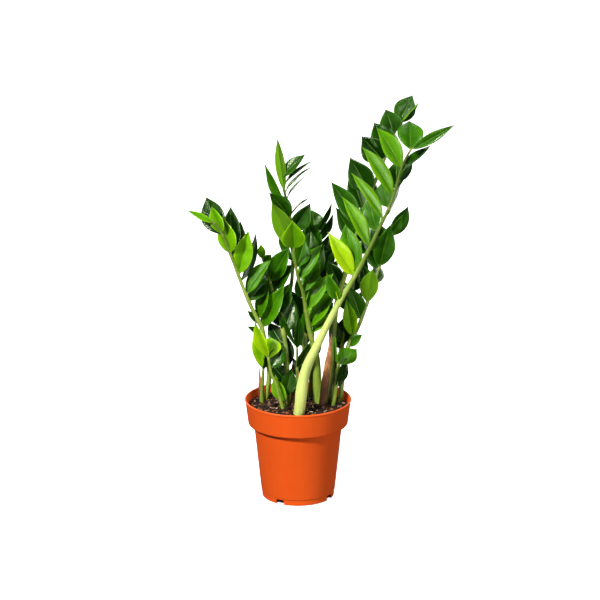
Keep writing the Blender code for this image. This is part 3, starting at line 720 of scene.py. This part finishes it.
# ---- Materials ---------------------------------------------------------------------------
class Nodes:
    """Short calls for a material's node tree. roughness is the shader's own even value."""

    def __init__(self, name, roughness):
        self.material = bpy.data.materials.new(name)
        self.material.use_nodes = True
        self.tree = self.material.node_tree
        self.shader = self.tree.nodes["Principled BSDF"]
        self.shader.inputs["Roughness"].default_value = roughness

    def join(self, value, socket):
        if isinstance(value, bpy.types.NodeSocket):
            self.tree.links.new(value, socket)
        else:
            socket.default_value = value

    def value(self, name):
        node = self.tree.nodes.new("ShaderNodeAttribute")
        node.attribute_name = name
        return node.outputs["Fac"]

    def place(self):
        return self.tree.nodes.new("ShaderNodeTexCoord").outputs["Object"]

    def stretched(self, x, y, z):
        node = self.tree.nodes.new("ShaderNodeMapping")
        node.inputs["Scale"].default_value = (x, y, z)
        self.join(self.place(), node.inputs["Vector"])
        return node.outputs["Vector"]

    def noise(self, scale, detail=3.0, vector=None):
        node = self.tree.nodes.new("ShaderNodeTexNoise")
        node.inputs["Scale"].default_value = scale
        node.inputs["Detail"].default_value = detail
        self.join(vector or self.place(), node.inputs["Vector"])
        return node.outputs["Fac"]

    def cells(self, scale):
        node = self.tree.nodes.new("ShaderNodeTexVoronoi")
        node.feature = "DISTANCE_TO_EDGE"
        node.inputs["Scale"].default_value = scale
        self.join(self.place(), node.inputs["Vector"])
        return node.outputs["Distance"]

    def math(self, operation, a, b=0.0, c=0.0):
        node = self.tree.nodes.new("ShaderNodeMath")
        node.operation = operation
        for value, socket in zip((a, b, c), node.inputs):
            self.join(value, socket)
        return node.outputs["Value"]

    def step(self, value, low, high, to_low=0.0, to_high=1.0):
        """A smooth step from to_low below low to to_high above high."""
        node = self.tree.nodes.new("ShaderNodeMapRange")
        node.interpolation_type = "SMOOTHSTEP"
        self.join(value, node.inputs["Value"])
        for name, number in (("From Min", low), ("From Max", high),
                             ("To Min", to_low), ("To Max", to_high)):
            node.inputs[name].default_value = number
        return node.outputs["Result"]

    def ramp(self, value, *stops):
        node = self.tree.nodes.new("ShaderNodeValToRGB")
        elements = node.color_ramp.elements
        while len(elements) < len(stops):
            elements.new(0.5)
        for element, (position, colour) in zip(elements, stops):
            element.position = position
            element.color = (*colour, 1.0)
        self.join(value, node.inputs["Fac"])
        return node.outputs["Color"]

    def mix(self, share, a, b):
        node = self.tree.nodes.new("ShaderNodeMix")
        node.data_type = "RGBA"
        self.join(share, node.inputs[0])
        self.join(a if isinstance(a, bpy.types.NodeSocket) else (*a, 1.0), node.inputs[6])
        self.join(b if isinstance(b, bpy.types.NodeSocket) else (*b, 1.0), node.inputs[7])
        return node.outputs[2]

    def finish(self, colour, roughness, height, depth, strength):
        """Joins the colour, the roughness and the bump, whose depth is in millimetres."""
        self.join(colour, self.shader.inputs["Base Color"])
        self.join(roughness, self.shader.inputs["Roughness"])
        bump = self.tree.nodes.new("ShaderNodeBump")
        bump.inputs["Strength"].default_value = strength
        bump.inputs["Distance"].default_value = depth * MM
        self.join(height, bump.inputs["Height"])
        self.tree.links.new(bump.outputs["Normal"], self.shader.inputs["Normal"])
        return self.material


def leaf_material():
    n = Nodes("zz_leaf", 0.3)
    tone, across, along, under = (n.value(k) for k in ("tone", "across", "along", "under"))
    off_rib = n.math("ABSOLUTE", across)
    cloud = n.noise(70)
    swirl = n.noise(260)
    vein_phase = n.math("MULTIPLY_ADD", along, 15.0, n.math("MULTIPLY", off_rib, -4.2))
    vein_phase = n.math("MULTIPLY_ADD", swirl, 1.1, vein_phase)
    to_vein = n.math("PINGPONG", vein_phase, 0.5)
    vein = n.step(to_vein, 0.0, 0.16, 1.0, 0.0)
    rib = n.step(off_rib, 0.015, 0.07, 1.0, 0.0)
    # The tone sets the green of both faces: partly the leaflet's own colour and partly painted
    # light and shade, near black for leaflets in deep shade and bright yellow-green for lit ones.
    shade = n.math("MULTIPLY_ADD", n.math("SUBTRACT", cloud, 0.5), 0.28, tone)
    shade = n.math("MULTIPLY_ADD", vein, -0.06, shade)
    # Painted shade along the midrib's crease and painted light towards the margins.
    shade = n.math("MULTIPLY_ADD", n.math("SUBTRACT", off_rib, 0.5), 0.12, shade)
    face = n.ramp(shade, (0.0, (0.001, 0.009, 0.0)), (0.22, (0.005, 0.033, 0.0)),
                  (0.45, (0.022, 0.11, 0.0)), (0.65, (0.075, 0.25, 0.001)),
                  (0.82, (0.16, 0.4, 0.001)), (1.0, (0.38, 0.6, 0.001)))
    back = n.mix(tone, (0.02, 0.1, 0.003), (0.26, 0.56, 0.008))
    colour = n.mix(under, face, back)
    # The midrib line: on bright leaflets a painted shadow in its groove, on dark ones the rib's own
    # paler green.
    rib_colour_and_groove_shadow = n.mix(tone, (0.04, 0.14, 0.01), (0.12, 0.28, 0.01))
    colour = n.mix(n.math("MULTIPLY", rib, 0.5), colour, rib_colour_and_groove_shadow)
    stem_end = n.step(along, 0.03, 0.1, 1.0, 0.0)
    colour = n.mix(stem_end, colour, (0.2, 0.34, 0.04))
    roughness = n.math("MULTIPLY_ADD", cloud, 0.2, n.math("MULTIPLY_ADD", under, 0.15, 0.12))
    height = n.math("MULTIPLY_ADD", vein, -0.8, n.math("MULTIPLY", n.cells(420), 0.9))
    height = n.math("MULTIPLY_ADD", swirl, 0.8, height)
    n.shader.inputs["Specular IOR Level"].default_value = 0.35
    n.shader.inputs["Specular Tint"].default_value = (0.9, 1.0, 0.7, 1.0)
    return n.finish(colour, roughness, height, 0.3, 0.7)


def stalk_material():
    n = Nodes("zz_stalk", 0.4)
    pale, scar = n.value("pale"), n.value("scar")
    streak = n.noise(1.0, 4.0, n.stretched(900, 900, 90))
    fleck = n.step(n.noise(420, 5.0), 0.56, 0.68)
    base = n.ramp(n.math("MULTIPLY_ADD", n.math("SUBTRACT", streak, 0.5), 0.35, pale),
                  (0.0, (0.035, 0.05, 0.008)), (0.35, (0.12, 0.18, 0.018)),
                  (0.65, (0.25, 0.38, 0.04)), (1.0, (0.62, 0.72, 0.2)))
    fleck = n.math("MULTIPLY", fleck, n.step(pale, 0.3, 0.95, 0.6, 0.12))
    colour = n.mix(fleck, base, (0.05, 0.08, 0.012))
    colour = n.mix(n.math("MULTIPLY", n.step(scar, 0.5, 0.95), 0.45), colour, (0.42, 0.42, 0.08))
    height = n.math("ADD", streak, fleck)
    return n.finish(colour, n.math("MULTIPLY_ADD", streak, 0.25, 0.3), height, 0.15, 0.5)


def plastic_material():
    n = Nodes("terracotta_plastic", 0.42)
    cloud = n.noise(22, 4.0)
    streak = n.noise(1.0, 3.0, n.stretched(260, 260, 14))
    colour = n.mix(n.math("MULTIPLY_ADD", streak, 0.5, n.math("MULTIPLY", cloud, 0.5)),
                   (0.68, 0.075, 0.004), (0.82, 0.1, 0.007))
    fine = n.noise(1500, 2.0)
    n.shader.inputs["Specular IOR Level"].default_value = 0.35
    roughness = n.math("MULTIPLY_ADD", cloud, 0.16, 0.34)
    return n.finish(colour, roughness, fine, 0.05, 0.35)


def peat_material():
    n = Nodes("peat_crumbs", 0.9)
    cloud, grit = n.noise(120, 4.0), n.noise(900, 4.0)
    colour = n.ramp(n.math("MULTIPLY_ADD", grit, 0.5, n.math("MULTIPLY", cloud, 0.5)),
                    (0.38, (0.003, 0.0015, 0.001)), (0.52, (0.016, 0.006, 0.002)),
                    (0.68, (0.08, 0.027, 0.007)))
    rusty = n.step(n.value("tone"), 0.78, 0.86)
    colour = n.mix(n.math("MULTIPLY", rusty, 0.8), colour, (0.24, 0.08, 0.018))
    n.shader.inputs["Specular IOR Level"].default_value = 0.2
    return n.finish(colour, n.math("MULTIPLY_ADD", grit, 0.5, 0.5), grit, 0.5, 0.9)


def bark_material(name, dark, light):
    n = Nodes(name, 0.8)
    grain = n.noise(1.0, 4.0, n.stretched(600, 600, 1800))
    colour = n.mix(n.math("MULTIPLY_ADD", grain, 0.8, n.math("MULTIPLY", n.value("tone"), 0.4)),
                   dark, light)
    return n.finish(colour, n.math("MULTIPLY_ADD", grain, 0.3, 0.6), grain, 0.3, 0.8)


def paper_material():
    n = Nodes("dry_sheath", 0.75)
    fibre = n.noise(1.0, 5.0, n.stretched(1400, 1400, 70))
    blotch = n.noise(140, 3.0)
    colour = n.ramp(n.math("MULTIPLY_ADD", fibre, 0.6, n.math("MULTIPLY", blotch, 0.4)),
                    (0.3, (0.07, 0.024, 0.006)), (0.5, (0.34, 0.13, 0.035)),
                    (0.72, (0.6, 0.32, 0.13)))
    foot = n.step(n.value("along"), 0.25, 0.6, 0.75, 0.0)
    colour = n.mix(foot, colour, (0.03, 0.012, 0.006))
    return n.finish(colour, n.math("MULTIPLY_ADD", blotch, 0.3, 0.55), fibre, 0.3, 0.8)


def floor_material():
    n = Nodes("studio_white", 0.9)
    n.shader.inputs["Base Color"].default_value = (FLOOR_WHITE, FLOOR_WHITE, FLOOR_WHITE, 1.0)
    n.shader.inputs["Emission Color"].default_value = (1.0, 1.0, 1.0, 1.0)
    n.shader.inputs["Emission Strength"].default_value = FLOOR_GLOW
    return n.material


# ---- Studio ------------------------------------------------------------------------------
def add_light(name, place, aim, size, power, gloss_only):
    lamp = bpy.data.lights.new(name, "AREA")
    lamp.shape = "DISK"
    lamp.size = size
    lamp.energy = power
    obj = bpy.data.objects.new(name, lamp)
    obj.visible_diffuse = not gloss_only
    obj.location = place
    obj.rotation_euler = (Vector(aim) - Vector(place)).to_track_quat("-Z", "Y").to_euler()
    bpy.context.scene.collection.objects.link(obj)


def build_studio():
    scene = bpy.context.scene
    scene.view_settings.view_transform = "Standard"
    world = bpy.data.worlds.new("studio")
    scene.world = world
    world.use_nodes = True
    tree = world.node_tree
    background = tree.nodes["Background"]
    background.inputs["Color"].default_value = (1.0, 1.0, 1.0, 1.0)
    path = tree.nodes.new("ShaderNodeLightPath")
    strength = path.outputs["Is Camera Ray"]
    for ray, share in (("Is Diffuse Ray", FILL), ("Is Glossy Ray", SHEEN)):
        add = tree.nodes.new("ShaderNodeMath")
        add.operation = "MULTIPLY_ADD"
        add.inputs[1].default_value = share
        tree.links.new(path.outputs[ray], add.inputs[0])
        tree.links.new(strength, add.inputs[2])
        strength = add.outputs["Value"]
    tree.links.new(strength, background.inputs["Strength"])
    bpy.ops.mesh.primitive_plane_add(size=FLOOR_SIZE, location=(0, 0, -FLOOR_DROP))
    floor = bpy.context.object
    floor.name = "studio_floor"
    floor.data.materials.append(floor_material())
    floor.visible_diffuse = False
    floor.visible_glossy = False
    for name, settings in LIGHTS.items():
        add_light(name, *settings)


def build_camera():
    camera = bpy.data.objects.new("camera", bpy.data.cameras.new("camera"))
    bpy.context.scene.collection.objects.link(camera)
    camera.data.sensor_width = 36.0
    camera.data.lens = CAMERA_LENS
    camera.data.clip_start = 0.05
    camera.data.clip_end = 60.0
    pitch = radians(CAMERA_PITCH)
    back = Vector((0, -cos(pitch), sin(pitch)))
    camera.location = Vector(CAMERA_AIM) + back * CAMERA_DISTANCE
    camera.rotation_euler = (-back).to_track_quat("-Z", "Y").to_euler()
    bpy.context.scene.camera = camera


# ---- Build -------------------------------------------------------------------------------
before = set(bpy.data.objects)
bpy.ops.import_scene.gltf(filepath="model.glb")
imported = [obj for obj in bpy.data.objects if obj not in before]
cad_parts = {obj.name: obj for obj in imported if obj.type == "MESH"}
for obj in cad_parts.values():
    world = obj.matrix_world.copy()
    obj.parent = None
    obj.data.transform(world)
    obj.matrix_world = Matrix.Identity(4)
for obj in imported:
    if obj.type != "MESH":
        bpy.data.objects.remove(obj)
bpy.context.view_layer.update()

LEAF = leaf_material()
STALK = stalk_material()
PLASTIC = plastic_material()
PEAT = peat_material()
BARK = bark_material("bark_chips", (0.05, 0.02, 0.01), (0.3, 0.15, 0.075))
STRAW = bark_material("straw_bits", (0.35, 0.2, 0.09), (0.8, 0.62, 0.38))
PAPER = paper_material()
FEET = [(frond.route[0][0], frond.route[0][1], frond.radii[0][1]) for frond in FRONDS.values()]

random_numbers = random.Random(SEED)
for frond_name, frond_table in FRONDS.items():
    build_frond(frond_name, frond_table, random_numbers)
for sheath_name, sheath_row in SHEATHS.items():
    build_sheath(sheath_name, sheath_row)
build_pot()
build_soil()
build_litter(random_numbers)
build_studio()
build_camera()
